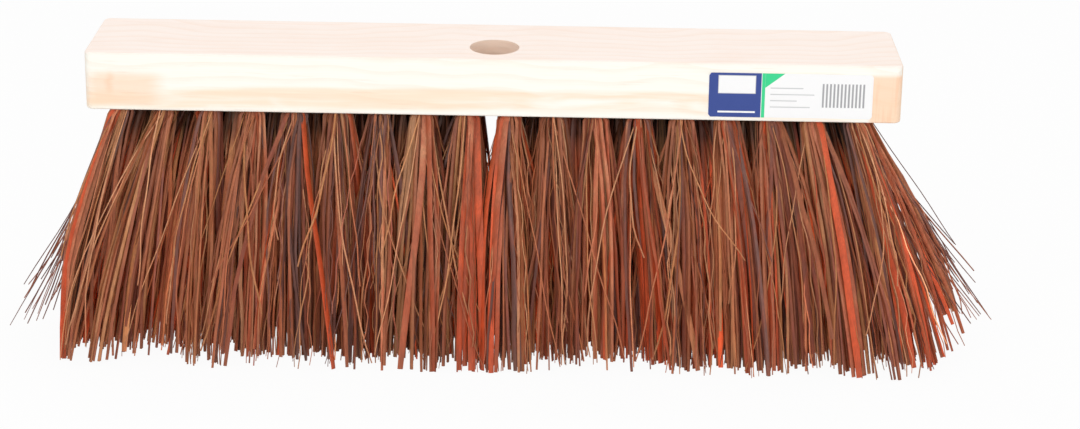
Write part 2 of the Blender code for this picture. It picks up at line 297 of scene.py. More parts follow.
def wood_material():
    """Pale planed softwood: rings seen along the grain, cream over peach, a few short dark strokes."""
    n = Nodes(bpy.data.materials.new("pine"))
    x, y, z = n.coordinates()
    fine = n.noise((9.0, 60.0, 60.0), detail=3.0)
    late = late_wood(n, y, z, fine)
    ends = n.remap(n.math("ABSOLUTE", x), END - 0.0008, END - 0.0002)
    base = front_figure(n, x, y, z, ends)

    # The planed top shows another board face, a little pinker.
    figure = n.noise((16.0, 42.0, 10.0), detail=3.0, roughness=0.6, distortion=0.6)
    top_colour = n.mix(n.remap(figure, 0.35, 0.68), BLUSH, DEEP_BLUSH)
    base = n.mix(n.remap(z, TOP - 0.0014, TOP - 0.0003), base, top_colour)

    # The two ends are cut across the grain and drink more of the finish.
    base = n.mix(n.times(ends, 0.55), base, END_GRAIN)
    base = n.mix(n.times(late, 0.12), base, AMBER)

    # Pores: hair-fine dark lines along the grain.
    pores = n.remap(n.noise((38.0, 900.0, 900.0), roughness=0.65), 0.60, 0.74)
    base = n.mix(n.times(pores, 0.10), base, PORE)
    grain = n.noise((55.0, 1500.0, 1500.0), (1.0, 5.0, 2.0), detail=1.0)
    base = n.mix(n.remap(grain, 0.3, 0.7, 0.0, 0.05, smooth=False), base, FINE_GRAIN)

    # The bore was turned with a coarse drill: its wall is browner than the planed faces.
    bore = bore_wall(n, x, y, z)
    turned = n.noise((80.0, 80.0, 700.0))
    base = n.mix(bore, base, n.mix(turned, BORE_DARK, BORE_PALE))

    rough = n.remap(fine, 0.3, 0.7, 0.50, 0.62, smooth=False)
    n.feed(n.shader, {"Base Color": base, "Roughness": rough, "Specular IOR Level": 0.32})
    relief = n.plus(n.times(pores, -0.6), n.times(late, 0.35))
    n.bump(n.plus(relief, n.times(n.times(turned, bore), 2.2)), 0.00010, 0.8)
    return n.owner


def ring_points(centre, axis, radius, sides):
    """Points of a circle about an axis."""
    side = axis.cross(Vector((1.0, 0.0, 0.0))).normalized()
    other = axis.cross(side)
    return [centre + side * (radius * math.cos(math.tau * k / sides))
            + other * (radius * math.sin(math.tau * k / sides)) for k in range(sides)]


def loft(bm, rings):
    """A closed skin through rings of as many points each."""
    levels = [[bm.verts.new(point) for point in ring] for ring in rings]
    count = len(levels[0])
    for first, second in zip(levels, levels[1:]):
        for k in range(count):
            bm.faces.new((first[k], first[(k + 1) % count], second[(k + 1) % count], second[k]))
    bm.faces.new(levels[0][::-1])
    bm.faces.new(levels[-1])


def block_outline(inset, z):
    """The block's outline from above, drawn in by an inset at the rounded top and bottom edges."""
    points = []
    radius = CORNER_RADIUS - inset
    for quarter, (sx, sy) in enumerate(((1, 1), (-1, 1), (-1, -1), (1, -1))):
        cx = sx * (END - CORNER_RADIUS)
        cy = sy * (BLOCK_WIDTH / 2 - CORNER_RADIUS)
        for step in range(CORNER_STEPS + 1):
            angle = math.pi / 2 * (quarter + step / CORNER_STEPS)
            points.append((cx + radius * math.cos(angle), cy + radius * math.sin(angle), z))
    return points


class Tuft(NamedTuple):
    """A drilled hole and what grows in it. x is from the rows' middle, and index counts outwards from 1."""
    x: float
    y: float
    row: int
    side: int
    index: int


def all_tufts():
    """The tufts of the five staggered rows, without the inner ones beside the bore."""
    found = []
    for row in range(-OUTER_ROW, OUTER_ROW + 1):
        staggered = row % 2 == 1
        for side in (-1, 1):
            for index in range(1, HALF_ROW + 1):
                beside_bore = index == 1 and abs(row) < OUTER_ROW
                if not beside_bore:
                    x = side * PITCH * (index - (1.0 if staggered else 0.5))
                    found.append(Tuft(x, row * ROW_SPACING, row, side, index))
    return found


def tuft_lean(tuft):
    """The lean of a tuft, to the side and to the back."""
    return (END_LEAN * (abs(tuft.x) / LAST_X) ** END_LEAN_POWER * tuft.side,
            OUTER_ROW_LEAN * tuft.y / LAST_Y)


def block_shell():
    """The undrilled block, with rounded corners and edges."""
    turns = [math.pi / 2 * step / EDGE_STEPS for step in range(EDGE_STEPS + 1)]
    edge = [(EDGE_RADIUS * (1 - math.sin(turn)), EDGE_RADIUS * (1 - math.cos(turn))) for turn in turns]
    rings = [block_outline(inset, UNDERSIDE + rise) for inset, rise in edge]
    rings += [block_outline(inset, TOP - rise) for inset, rise in reversed(edge)]
    bm = bmesh.new()
    loft(bm, rings)
    return mesh_from(bm, "block_body")


def drills():
    """The handle bore's cutter and one for each tuft hole."""
    bm = bmesh.new()

    def drill(mouth, axis, diameter, above, below, sides):
        loft(bm, [ring_points(end, axis, diameter / 2, sides)
                  for end in (mouth - axis * above, mouth + axis * below)])

    drill(Vector((0.0, -BORE_AHEAD_BY, TOP)), Vector((0.0, math.sin(BORE_LEAN), -math.cos(BORE_LEAN))),
          BORE_DIAMETER, BORE_TOOL_ABOVE, BORE_TOOL_BELOW, BORE_SIDES)
    for tuft in all_tufts():
        lean_x, lean_y = tuft_lean(tuft)
        drill(Vector((tuft.x - ROWS_LEFT_BY, tuft.y, UNDERSIDE)),
              Vector((math.tan(lean_x), math.tan(lean_y), -1.0)).normalized(),
              HOLE_DIAMETER, HOLE_DEPTH, HOLE_TOOL_BELOW, HOLE_SIDES)
    bmesh.ops.recalc_face_normals(bm, faces=bm.faces[:])
    return mesh_from(bm, "drills")


def build_block(material):
    """The drilled, round-edged block, finer than the CAD solid and of the same size."""
    block = link_object("block_body", block_shell(), material)
    tool = link_object("drills", drills())
    cut = block.modifiers.new("cut", "BOOLEAN")
    cut.operation, cut.solver, cut.object = "DIFFERENCE", "EXACT", tool
    graph = bpy.context.evaluated_depsgraph_get()
    drilled = bpy.data.meshes.new_from_object(block.evaluated_get(graph))
    block.modifiers.clear()
    block.data = drilled
    bpy.data.objects.remove(tool)
    shade_smooth_but(drilled, 40.0)
    weighted = block.modifiers.new("normals", "WEIGHTED_NORMAL")
    weighted.keep_sharp = True
    weighted.weight = 100
    return block


# Paper label

LABEL_WIDTH = 0.080
LABEL_HEIGHT = 0.0224
LABEL_LEFT = END - 0.0145 - LABEL_WIDTH
LABEL_LOW = UNDERSIDE + 0.0021
LABEL_THICKNESS = 0.0002
LABEL_GAP = 0.00003
LABEL_CORNER = 0.0010
LABEL_COLUMNS = 60
LABEL_ROWS = 18
# Its two lifted corners: place, how far the paper bends round it, and how far it lifts.
LABEL_LIFTS = ((LABEL_WIDTH, 0.0, 0.010, 0.00035), (0.0, LABEL_HEIGHT, 0.008, 0.00022))

# The print, from the label's lower left corner: fields as limits across and up.
PRINT_EDGE = 0.00012
BLUE_TO = 0.0255
STRIPE = (0.0258, 0.0274)
PANEL = ((0.0045, 0.0228), (0.0120, 0.0212))
INNER_PANEL = ((0.0048, 0.0225), (0.0123, 0.0209))
LINE_BELOW_PANEL = ((0.0045, 0.0228), (0.0022, 0.0031))
# The green corner, right of the stripe: its slope, and how far down it reaches there.
CORNER_SLOPE = 0.78
CORNER_DEPTH = 0.00735
# Rules: height and right end. Bars: their field and their pitch, half of which each one fills.
RULES = ((0.0148, 0.0460), (0.0116, 0.0515), (0.0084, 0.0430), (0.0052, 0.0495))
RULES_FROM = 0.0300
RULE_THICKNESS = 0.0005
BARS = ((0.0545, 0.0761), (0.0056, 0.0176))
BAR_PITCH = 0.0018


def label_material():
    """Coated paper: a blue field with a bare panel, a green stripe, a white field, a green corner."""
    n = Nodes(bpy.data.materials.new("printed_paper"))
    x, _, z = n.coordinates()
    u = n.minus(x, LABEL_LEFT)
    v = n.minus(z, LABEL_LOW)

    def field(across, up):
        return n.times(n.band(u, *across, PRINT_EDGE), n.band(v, *up, PRINT_EDGE))

    white = srgb(242, 242, 242)
    grey = srgb(176, 176, 178)
    mottled = n.noise((120.0, 120.0, 120.0), detail=3.0)
    blue = n.mix(mottled, srgb(46, 66, 136), srgb(54, 76, 148))
    green = n.mix(mottled, srgb(40, 200, 130), srgb(60, 216, 148))
    panel = field(*PANEL)
    colour = n.mix(n.below(u, BLUE_TO, 0.0001), white, blue)
    colour = n.mix(panel, colour, white)
    colour = n.mix(n.band(u, *STRIPE, PRINT_EDGE), colour, green)
    slope = n.plus(n.times(n.minus(u, STRIPE[1]), CORNER_SLOPE), n.minus(LABEL_HEIGHT, v))
    corner = n.times(n.below(slope, CORNER_DEPTH, 0.00015), n.above(u, STRIPE[1], 0.0001))
    colour = n.mix(corner, colour, green)

    # Plain rules and bars, which say nothing, where such a label has its small print.
    colour = n.mix(n.times(n.minus(panel, field(*INNER_PANEL)), 0.6), colour, grey)
    colour = n.mix(field(*LINE_BELOW_PANEL), colour, white)
    for low, right in RULES:
        rule = field((RULES_FROM, right), (low, low + RULE_THICKNESS))
        colour = n.mix(n.times(rule, 0.75), colour, grey)
    bars = n.math("FRACT", n.times(n.minus(u, BARS[0][0]), 1.0 / BAR_PITCH))
    bars = n.times(n.band(bars, 0.46, 0.96, 0.04), field(*BARS))
    colour = n.mix(n.times(bars, 0.85), colour, srgb(140, 140, 144))

    n.feed(n.shader, {"Base Color": colour, "Roughness": 0.36, "Specular IOR Level": 0.4})
    n.bump(n.noise((900.0, 900.0, 900.0)), 0.00002, 0.4)
    return n.owner


def build_label(material):
    """A thin sticker with rounded corners that follows the front face and lifts at two corners."""
    back = FRONT - LABEL_GAP
    bm = bmesh.new()
    fronts, backs = ([[] for _ in range(LABEL_ROWS + 1)] for _ in range(2))
    for j in range(LABEL_ROWS + 1):
        v = LABEL_HEIGHT * j / LABEL_ROWS
        inset = 0.0
        edge = min(v, LABEL_HEIGHT - v)
        if edge < LABEL_CORNER:
            inset = LABEL_CORNER - math.sqrt(max(LABEL_CORNER ** 2 - (LABEL_CORNER - edge) ** 2, 0.0))
        for i in range(LABEL_COLUMNS + 1):
            u = inset + (LABEL_WIDTH - 2 * inset) * i / LABEL_COLUMNS
            lift = sum(most * max(0.0, 1 - math.hypot(u - corner_u, v - corner_v) / reach) ** 2
                       for corner_u, corner_v, reach, most in LABEL_LIFTS)
            x, z = LABEL_LEFT + u, LABEL_LOW + v
            fronts[j].append(bm.verts.new((x, back - LABEL_THICKNESS - lift, z)))
            backs[j].append(bm.verts.new((x, back - lift, z)))
    for j in range(LABEL_ROWS):
        for i in range(LABEL_COLUMNS):
            bm.faces.new((fronts[j][i], fronts[j][i + 1], fronts[j + 1][i + 1], fronts[j + 1][i]))
            bm.faces.new((backs[j][i], backs[j + 1][i], backs[j + 1][i + 1], backs[j][i + 1]))
    border = ([(0, i) for i in range(LABEL_COLUMNS)]
              + [(j, LABEL_COLUMNS) for j in range(LABEL_ROWS)]
              + [(LABEL_ROWS, i) for i in range(LABEL_COLUMNS, 0, -1)]
              + [(j, 0) for j in range(LABEL_ROWS, 0, -1)])
    for (j0, i0), (j1, i1) in zip(border, border[1:] + border[:1]):
        bm.faces.new((fronts[j0][i0], backs[j0][i0], backs[j1][i1], fronts[j1][i1]))
    bmesh.ops.recalc_face_normals(bm, faces=bm.faces[:])
    mesh = mesh_from(bm, "paper_label")
    shade_smooth_but(mesh, 40.0)
    return link_object("paper_label", mesh, material)


# Fibres

# Kinds of fibre: display colour, and how common each is on the left and on the right of the broom.
KINDS = {
    "ash": ((114, 76, 68), 0.07, 0.06),
    "maroon": ((148, 78, 58), 0.13, 0.16),
    "umber": ((166, 96, 66), 0.26, 0.19),
    "brown": ((184, 107, 73), 0.27, 0.20),
    "ochre": ((188, 126, 82), 0.08, 0.03),
    "tan": ((204, 144, 106), 0.06, 0.03),
    "salmon": ((192, 106, 74), 0.06, 0.07),
    "rust": ((178, 80, 47), 0.03, 0.11),
    "orange": ((220, 90, 48), 0.00, 0.01),
}
HAIR_KINDS = {"tan": 0.30, "ochre": 0.22, "brown": 0.26, "umber": 0.14, "ash": 0.08}
STRIP_KINDS = {"salmon": 0.28, "rust": 0.25, "orange": 0.14, "brown": 0.20, "maroon": 0.13}
BRIGHT_KINDS = {"salmon": 0.60, "rust": 0.40}
WIRE_KINDS = {"ash": 0.6, "maroon": 0.2, "umber": 0.2}
WORN = srgb(150, 108, 84)
# Where the mix of kinds turns from left to right, and where bright locks get more common.
KINDS_TURN_AT = (-0.02, 0.14)
BRIGHT_TURN_AT = (-0.05, 0.10)
BRIGHT_LOCK_CHANCE = (0.45, 0.75)
# Each tuft has more of one of the first few kinds.
FAVOURED_KINDS = 5
FAVOUR = 0.22

# A tuft has so many locks. By the tips they fan out, and the fibres within them, by these factors.
LOCKS = 7
LOCK_FAN = 2.45
FIBRE_FAN = 1.5
# Fibres start so deep in the hole, squeezed together, and fill the mouth by this share of the way.
IN_HOLE = 0.010
MOUTH_RADIUS = 0.0066
MOUTH_SHARE = 0.028
SQUEEZE = (HOLE_DIAMETER / 2 - 0.0007) / MOUTH_RADIUS
# How far tips end over the floor, loose ones stray and fibres bow, how much further out tips stand at each
# end, and how far to the front and rear they may.
TIPS_SHORT_BY = 0.0016
LOOSE_SPREAD = 0.012
BOW = 0.0012
END_TIP_SPREAD = {-1: 0.70, 1: 1.2}
Y_LIMIT = 0.0625

# One sort of fibre: how many a coarse and a fine tuft have, its sides, stations, half widths, flatness,
# scatter at the tip, share that strays, waviness and its turns, how unevenly it is cut, the share broken, how
# far it turns from facing the front, and how its colour drifts along it.
SORTS = {
    "stalk": dict(count=(60, 38), sides=4, stations=9, width=(0.00064, 0.00122), flat=(0.50, 0.80),
                  jitter=0.0024, loose=0.20, wave=0.0005, turns=(0.8, 2.6), cut=0.0004, broken=0.02,
                  facing=1.2, drift=0.0),
    "strip": dict(count=(14, 8), sides=6, stations=10, width=(0.00105, 0.00185), flat=(0.16, 0.26),
                  jitter=0.0024, loose=0.13, wave=0.0002, turns=(0.8, 2.6), cut=0.0004, broken=0.0,
                  facing=0.55, drift=0.06),
    "hair": dict(count=(14, 46), sides=3, stations=18, width=(0.00022, 0.00042), flat=(0.8, 1.0),
                 jitter=0.0046, loose=0.34, wave=0.0012, turns=(1.6, 6.0), cut=0.0010, broken=0.12,
                 facing=1.2, drift=0.0),
}

# How far each end fans out, as distances from the block's middle: at the block and at the most, and the share
# of the fall over which it would get there in a straight line. It rounds off from ROUNDS_FROM of that share
# on, and gets there as much later. Only wires stand further out.
ENDS = {-1: (0.1965, 0.2150, 0.55), 1: (0.1950, 0.2450, 0.78)}
ROUNDS_FROM = 0.8
# Behind the front row the fan comes later, by this share of the fall for each metre.
REAR_LAG = 2.8
# A fibre that would pass the limit is bent back over this last distance, at least so much near the block.
BEND = 0.009
LEAST_BEND = 0.00225
# Past this distance the tips stand higher the further out they are, by this slope, up to HIGHEST_CUT.
END_CUTS = {-1: (0.2115, 2.2), 1: (0.2220, 1.0)}
HIGHEST_CUT = 0.034
# At each end's wires: how near and how far out their tips stand, and how low and how high.
WIRES = {-1: (0.2190, 0.2405, 0.009, 0.027), 1: (0.2320, 0.2495, 0.010, 0.030)}
WIRES_IN_TUFT = 9
# The fewest strays on an outer tuft of each side, and one more than the most.
STRAYS = {-1: (2, 8), 1: (2, 5)}

# Under the bore the tufts leave a notch, which is wider and closes lower down from the front to the rear.
NOTCH_HALF_WIDTH = (0.0030, 0.0048)
NOTCH_CLOSES_AT = (0.21, 0.38)

# A fibre rooted this far from the rows' middle is outermost, and one so much further in is wholly inside.
# Inside ones get painted shade near the block, over these shares of the length, and painted light lower down,
# against the shadow deep in the broom.
OUTERMOST_FROM = 0.0265
DEPTH_RANGE = 0.010
PAINTED_SHADE_UNTIL = 0.05
PAINTED_SHADE_FADES_OVER = 0.23
PAINTED_SHADE_BY = 0.84
PAINTED_LIGHT_BY = 1.25


def fibre_material():
    """Stiff plant fibre: one colour a fibre, streaked along it, with painted shade in the hole, and dull at
    the tip.
    """
    n = Nodes(bpy.data.materials.new("plant_fibre"))
    tone, shade, along = (n.add("ShaderNodeAttribute", attribute_name=name).outputs["Fac"]
                          for name in ("tone", "shade", "along"))
    stops = [((k + 0.5) / len(KINDS), srgb(*kind[0])) for k, kind in enumerate(KINDS.values())]
    stain = n.noise((240.0, 240.0, 34.0), (0.5, 0.2, 0.7), roughness=0.6)
    stained = n.remap(stain, 0.3, 0.7, -0.055, 0.055, smooth=False)
    stained = n.math("ADD", tone, stained, clamp=True)
    colour = n.ramp(stained, stops)
    streak = n.noise((260.0, 260.0, 40.0), detail=3.0, roughness=0.65, w=n.times(tone, 40.0))
    fine = n.noise((1700.0, 1700.0, 60.0), roughness=0.65)
    level = n.times(n.remap(streak, 0.25, 0.75, 0.76, 1.20, smooth=False), shade)
    level = n.times(n.remap(fine, 0.28, 0.72, 0.80, 1.17, smooth=False), level)
    # Painted shade where the fibres go into the hole.
    root = n.remap(along, 0.04, 0.10, 0.75, 1.0)
    tip = n.remap(along, 0.70, 1.0, 1.0, 0.92)
    level = n.times(level, n.times(root, tip))
    # Near the block the fibres are a little greyer, and redder towards their tips.
    green = n.times(level, n.remap(along, 0.1, 0.8, 1.06, 0.96))
    blue = n.times(level, n.remap(along, 0.1, 0.8, 1.05, 0.93))
    shading = n.add("ShaderNodeCombineColor", {"Red": level, "Green": green, "Blue": blue})
    colour = n.mix(1.0, colour, shading.outputs[0], "MULTIPLY")
    colour = n.mix(n.times(n.remap(along, 0.88, 1.0), 0.15), colour, WORN)
    n.feed(n.shader, {"Base Color": colour, "Roughness": 0.50, "Specular IOR Level": 0.30})
    return n.owner


def centre_line(tuft, shares, swing):
    """The tuft's middle at each share of its length, with its own small swing added to the lean."""
    lean_x, lean_y = tuft_lean(tuft)
    throw = FREE_LENGTH * (shares - DROOP * shares ** 2)
    swung = np.maximum(shares, 0.0) ** 1.4
    return (tuft.x - ROWS_LEFT_BY + throw * math.tan(lean_x) + swing[0] * swung,
            tuft.y + throw * math.tan(lean_y) + swing[1] * swung)


def kind_chances(x):
    start, end = KINDS_TURN_AT
    turned = eased(min(max((x - start) / (end - start), 0.0), 1.0))
    chances = np.array([left * (1 - turned) + right * turned for _, left, right in KINDS.values()])
    return chances / chances.sum()


def pick_kinds(rng, count, shares):
    """Draws kinds of fibre, as their places in KINDS."""
    names = list(KINDS)
    return rng.choice([names.index(name) for name in shares], count, p=list(shares.values()))


def disc(rng, count, radius):
    angle, reach = rng.uniform(0, math.tau, count), np.sqrt(rng.random(count)) * radius
    return np.stack([np.cos(angle) * reach, np.sin(angle) * reach], 1)


def in_depth(root_x, root_y):
    """How far inside the broom a fibre is rooted: 0 on the outer rows and 1 in the middle."""
    outermost = np.maximum(np.abs(root_y), np.abs(root_x) - (LAST_X - LAST_Y))
    return np.clip((OUTERMOST_FROM - outermost) / DEPTH_RANGE, 0.0, 1.0)


def heights(short, shares):
    """Each station's height, for fibres whose tips end so short of the floor."""
    return FREE_LENGTH - (FREE_LENGTH - np.maximum(short, 0.0))[:, None] * shares


def held_back(x, y, height, width):
    """Bends back what would stand out past an end's reach. The rear rows lag behind."""
    fallen = 1.0 - height / FREE_LENGTH - REAR_LAG * np.maximum(y + LAST_Y, 0.0)
    for side, (near, far, full_at) in ENDS.items():
        # A parabola takes the line over to the limit.
        run = np.clip(fallen / full_at, 0.0, 2.0 - ROUNDS_FROM)
        rounding = np.maximum(run - ROUNDS_FROM, 0.0) ** 2 / (4.0 * (1.0 - ROUNDS_FROM))
        reach = near + (far - near) * (run - rounding)
        give = np.clip(BEND * run, LEAST_BEND, BEND)
        past = np.maximum(side * x - (reach - width[:, None] - BEND), 0.0)
        x = x - side * (past - give * (1.0 - np.exp(-past / give)))
    return x


def clear_of_notch(x, tuft, shares, width):
    """Keeps a tuft beside the middle out of the notch."""
    half_width, closes_at = (np.interp(tuft.y, (-LAST_Y, LAST_Y), ends)
                             for ends in (NOTCH_HALF_WIDTH, NOTCH_CLOSES_AT))
    edge = half_width * (1.0 - shares / closes_at) + width[:, None]
    return tuft.side * np.maximum(tuft.side * (x + ROWS_LEFT_BY), edge) - ROWS_LEFT_BY


def rooted(tuft, mouth, x, y, height):
    """Adds a first station in the drilled hole, and gives every station's point."""
    hole = np.stack(centre_line(tuft, -IN_HOLE / FREE_LENGTH, (0.0, 0.0))) + mouth * SQUEEZE
    first = np.column_stack([hole, np.full(len(mouth), FREE_LENGTH + IN_HOLE)])
    return np.concatenate([first[:, None, :], np.stack([x, y, height], 2)], 1)


def along_fibre(shares):
    """Each station's place along its fibre, from the one in the hole to the tip."""
    return np.concatenate([[0.0], shares * 0.92 + 0.08])


def painted_depth_shade(level, depth, stations):
    """Brightness at each station: fibres rooted inside the broom get painted shade near the block and painted
    light lower down.
    """
    # Painted shade near the block and painted light below it, stronger the deeper a fibre is rooted.
    rise = eased(np.clip((stations - PAINTED_SHADE_UNTIL) / PAINTED_SHADE_FADES_OVER, 0.0, 1.0))
    dark = 1.0 - PAINTED_SHADE_BY * depth[:, None] * (1 - rise)
    return level[:, None] * dark * (1.0 + PAINTED_LIGHT_BY * depth[:, None] * rise)


def lay_roots(rng, name, count, locks):
    """Where fibres leave the block, about the tuft's middle, and each one's lock."""
    mouth = disc(rng, count, MOUTH_RADIUS)
    if name == "strip":
        heart = locks["seed"][rng.choice((max(locks["bright"], 0), 0), count)]
        mouth = heart + rng.normal(0, 0.0014, (count, 2))
    lock = np.argmin(((mouth[:, None] - locks["seed"][None]) ** 2).sum(2), 1)
    return mouth, lock


def spread_tips(rng, tuft, sort, locks, mouth, lock):
    """Where the tips stand, about the tuft's middle: fanned out with their locks, and some of them loose."""
    seed = locks["seed"][lock]
    tip = (seed * LOCK_FAN + (mouth - seed) * FIBRE_FAN) * locks["fan"] + locks["lean"][lock]
    tip += rng.normal(0, sort["jitter"], tip.shape)
    loose = rng.random(len(tip)) < sort["loose"]
    strayed = rng.normal(0, LOOSE_SPREAD, (loose.sum(), 2))
    tip[loose] += np.clip(strayed, -2 * LOOSE_SPREAD, 2 * LOOSE_SPREAD)
    outward = tip[:, 0] * tuft.side
    # The last tufts' tips fan out as their end of the broom does, and the first ones' keep off the notch.
    if tuft.index == HALF_ROW:
        tip[:, 0] *= np.where(outward > 0, END_TIP_SPREAD[tuft.side], 1.1)
    if tuft.index == 1:
        tip[:, 0] *= np.where(outward < 0, 0.85, 1.0)
    return tip


def fall_in_curves(rng, tuft, sort, swing, shares, mouth, tip):
    """x and y at each station, from mouth to tip, with a bow and a wave of each fibre's own."""
    count = len(tip)
    middle = centre_line(tuft, shares, swing)
    run = np.clip((shares - MOUTH_SHARE) / (1 - MOUTH_SHARE), 0, 1)
    # All but the last tufts open out early and fall straighter lower down.
    if tuft.index < HALF_ROW:
        run = 1.6 * run - 0.6 * run ** 2
    gather = np.where(shares < MOUTH_SHARE, SQUEEZE, 1.0)
    # Tips past the limit to the front or rear are drawn back almost to it.
    reached = middle[1][-1] + tip[:, 1]
    inside = np.clip(reached, -Y_LIMIT, Y_LIMIT)
    drawn_back = inside + (reached - inside) * 0.12 * rng.random(count) - middle[1][-1]
    tip = np.stack([tip[:, 0], drawn_back], 1)
    # A few fibres are bowed more than the rest.
    bow = rng.normal(0, BOW, (count, 2))
    bow[rng.random(count) < 0.15] *= 2.6
    path = []
    for centre, root, end, bend in zip(middle, mouth.T[..., None], tip.T[..., None], bow.T[..., None]):
        turns = rng.uniform(*sort["turns"], (count, 1))
        wave = np.sin(math.tau * (shares * turns + rng.random((count, 1))))
        wave = wave * rng.uniform(0.2, 1.0, (count, 1)) * sort["wave"] * np.minimum(run * 4, 1.0)
        path.append(centre + root * gather * (1 - run) + end * run + bend * np.sin(math.pi * run) + wave)
    return path


def cut_short(rng, sort, locks, lock):
    """How far over the floor each tip ends. Some fibres are broken off, and a few end just over it."""
    count = len(lock)
    short = locks["short"][lock] + rng.normal(0, sort["cut"], count)
    broken = rng.random(count) < sort["broken"]
    short[broken] += rng.uniform(0.004, 0.030, broken.sum())
    long = rng.random(count) < 0.03
    short[long] = rng.uniform(0.0, 0.0010, long.sum())
    return short


def choose_tones(rng, name, locks, lock, chances, stations):
    """Each fibre's colour at each station, as a place from 0 to 1 among the kinds."""
    count = len(lock)
    own = rng.choice(len(KINDS), count, p=chances)
    kind = np.where(rng.random(count) < 0.55, locks["kind"][lock], own)
    if name == "strip":
        kind = pick_kinds(rng, count, STRIP_KINDS)
    bright = (lock == locks["bright"]) & (rng.random(count) < 0.85)
    kind[bright] = pick_kinds(rng, count, BRIGHT_KINDS)[bright]
    if name == "hair":
        kind = np.where(rng.random(count) < 0.6, pick_kinds(rng, count, HAIR_KINDS), kind)
    drift = rng.normal(SORTS[name]["drift"], 0.05, count)
    drift[bright] += 0.06
    tone = (kind + 0.5 + rng.uniform(-0.45, 0.45, count)) / len(KINDS)
    return np.clip(tone[:, None] + drift[:, None] * stations, 0.0, 1.0)


def grow_sort(rng, name, tuft, locks, chances):
    """One sort of fibre in one tuft: station centres, half widths, directions and colours."""
    sort = SORTS[name]
    coarse, fine = sort["count"]
    count = round(coarse + (fine - coarse) * locks["fineness"])
    shares = np.concatenate([[0.0, MOUTH_SHARE], np.linspace(0.10, 1.0, sort["stations"] - 2)])
    mouth, lock = lay_roots(rng, name, count, locks)
    tip = spread_tips(rng, tuft, sort, locks, mouth, lock)
    x, y = fall_in_curves(rng, tuft, sort, locks["swing"], shares, mouth, tip)
    width = rng.uniform(*sort["width"], count)
    short = cut_short(rng, sort, locks, lock)
    x = held_back(x, y, heights(short, shares), width)
    if tuft.index <= 2:
        x = clear_of_notch(x, tuft, shares, width)
    cut_from, cut_slope = END_CUTS[tuft.side]
    past_end = np.maximum(np.abs(x[:, -1]) - cut_from, 0.0)
    height = heights(short + np.minimum(past_end * cut_slope, HIGHEST_CUT), shares)

    stations = np.concatenate([[0.0], shares])
    tone = choose_tones(rng, name, locks, lock, chances, stations)
    level = rng.uniform(0.75, 0.96, count) * locks["level"]
    # How deep each fibre is rooted sets its painted shade near the block and its painted light lower down.
    depth = in_depth(tuft.x + mouth[:, 0], tuft.y + mouth[:, 1])
    return dict(points=rooted(tuft, mouth, x, y, height), width=width,
                thick=width * rng.uniform(*sort["flat"], count), sides=sort["sides"],
                along=along_fibre(shares), facing=rng.normal(0, sort["facing"], count),
                tone=tone, shade=painted_depth_shade(level, depth, stations))


def thin_fibres(rng, points, width, sides, shares, kinds, level):
    """Thin fibres of one colour each, along known points."""
    count, stations = points.shape[:2]
    tone = (pick_kinds(rng, count, kinds) + 0.5) / len(KINDS)
    return dict(points=points, width=width, thick=width * 0.9, sides=sides, along=along_fibre(shares),
                facing=rng.normal(0, 1.2, count), tone=np.repeat(tone[:, None], stations, 1),
                shade=np.full((count, stations), level))


def small_wave(rng, count, shares, turns, size):
    """A wave that grows from the root to the tip."""
    return np.sin(math.tau * (shares * turns + rng.random((count, 1)))) * size * shares


def grow_strays(rng, tuft):
    """A few thin pale fibres that lie across the outside of an outer tuft."""
    count = rng.integers(*STRAYS[tuft.side])
    shares = np.linspace(0.0, 1.0, 14)
    outward = math.copysign(1.0, tuft.y)
    mouth = disc(rng, count, MOUTH_RADIUS * 0.5) + np.array([0.0, outward * MOUTH_RADIUS * 0.5])
    tip_x = np.clip(rng.normal(0, 0.019, count), -0.038, 0.038)
    # Beside the notch they lie away from it, and at the ends they lie inwards.
    if tuft.index in (1, HALF_ROW):
        tip_x = (0.7 if tuft.index == 1 else -0.7) * tuft.side * np.abs(tip_x)
    tip_y = outward * rng.uniform(0.050, 0.064, count)
    middle_x, _ = centre_line(tuft, shares, (0.0, 0.0))
    spread = 1.75 * shares - 0.75 * shares ** 2
    curl = shares ** rng.uniform(0.9, 1.7, count)[:, None]
    bow = rng.normal(0, 0.0028, count)[:, None] * np.sin(math.pi * shares)
    wave = small_wave(rng, count, shares, 2.2, 0.0007)
    width = rng.uniform(0.00026, 0.00046, count)
    x = middle_x + mouth[:, :1] * (1 - curl) + tip_x[:, None] * curl + bow + wave
    y = tuft.y + mouth[:, 1:] + (tip_y[:, None] - tuft.y - mouth[:, 1:]) * spread
    short = rng.uniform(0.001, 0.012, count)
    broken = rng.random(count) < 0.35
    short[broken] += rng.uniform(0.01, 0.06, broken.sum())
    height = heights(short, shares)
    x = held_back(x, y, height, width)
    points = rooted(tuft, mouth, x, y, height)
    return thin_fibres(rng, points, width, 4, shares, HAIR_KINDS, 1.05)


def grow_wires(rng, tuft):
    """Thin dark fibres that spring out past an end of the broom."""
    count = WIRES_IN_TUFT
    nearest, furthest, lowest, highest = WIRES[tuft.side]
    shares = np.linspace(0.0, 1.0, 12)
    mouth = disc(rng, count, MOUTH_RADIUS * 0.8)
    reach = rng.uniform(nearest, furthest, count)
    low = rng.uniform(lowest, highest, count)
    # On the right the wires that reach further out end higher.
    if tuft.side > 0:
        low += 0.8 * (reach - nearest) * rng.random(count)
    ahead = shares ** rng.uniform(0.98, 1.35, count)[:, None]
    tip_y = np.clip(tuft.y * 1.7 + rng.normal(0, 0.010, count), -Y_LIMIT, Y_LIMIT)
    wave = small_wave(rng, count, shares, 1.7, 0.0006)
    root_x = tuft.x - ROWS_LEFT_BY + mouth[:, :1]
    x = root_x + (tuft.side * reach[:, None] - root_x) * ahead + wave
    y = tuft.y + mouth[:, 1:] + (tip_y[:, None] - tuft.y - mouth[:, 1:]) * shares - wave
    width = rng.uniform(0.00026, 0.00044, count)
    points = rooted(tuft, mouth, x, y, heights(low, shares))
    return thin_fibres(rng, points, width, 3, shares, WIRE_KINDS, 0.95)


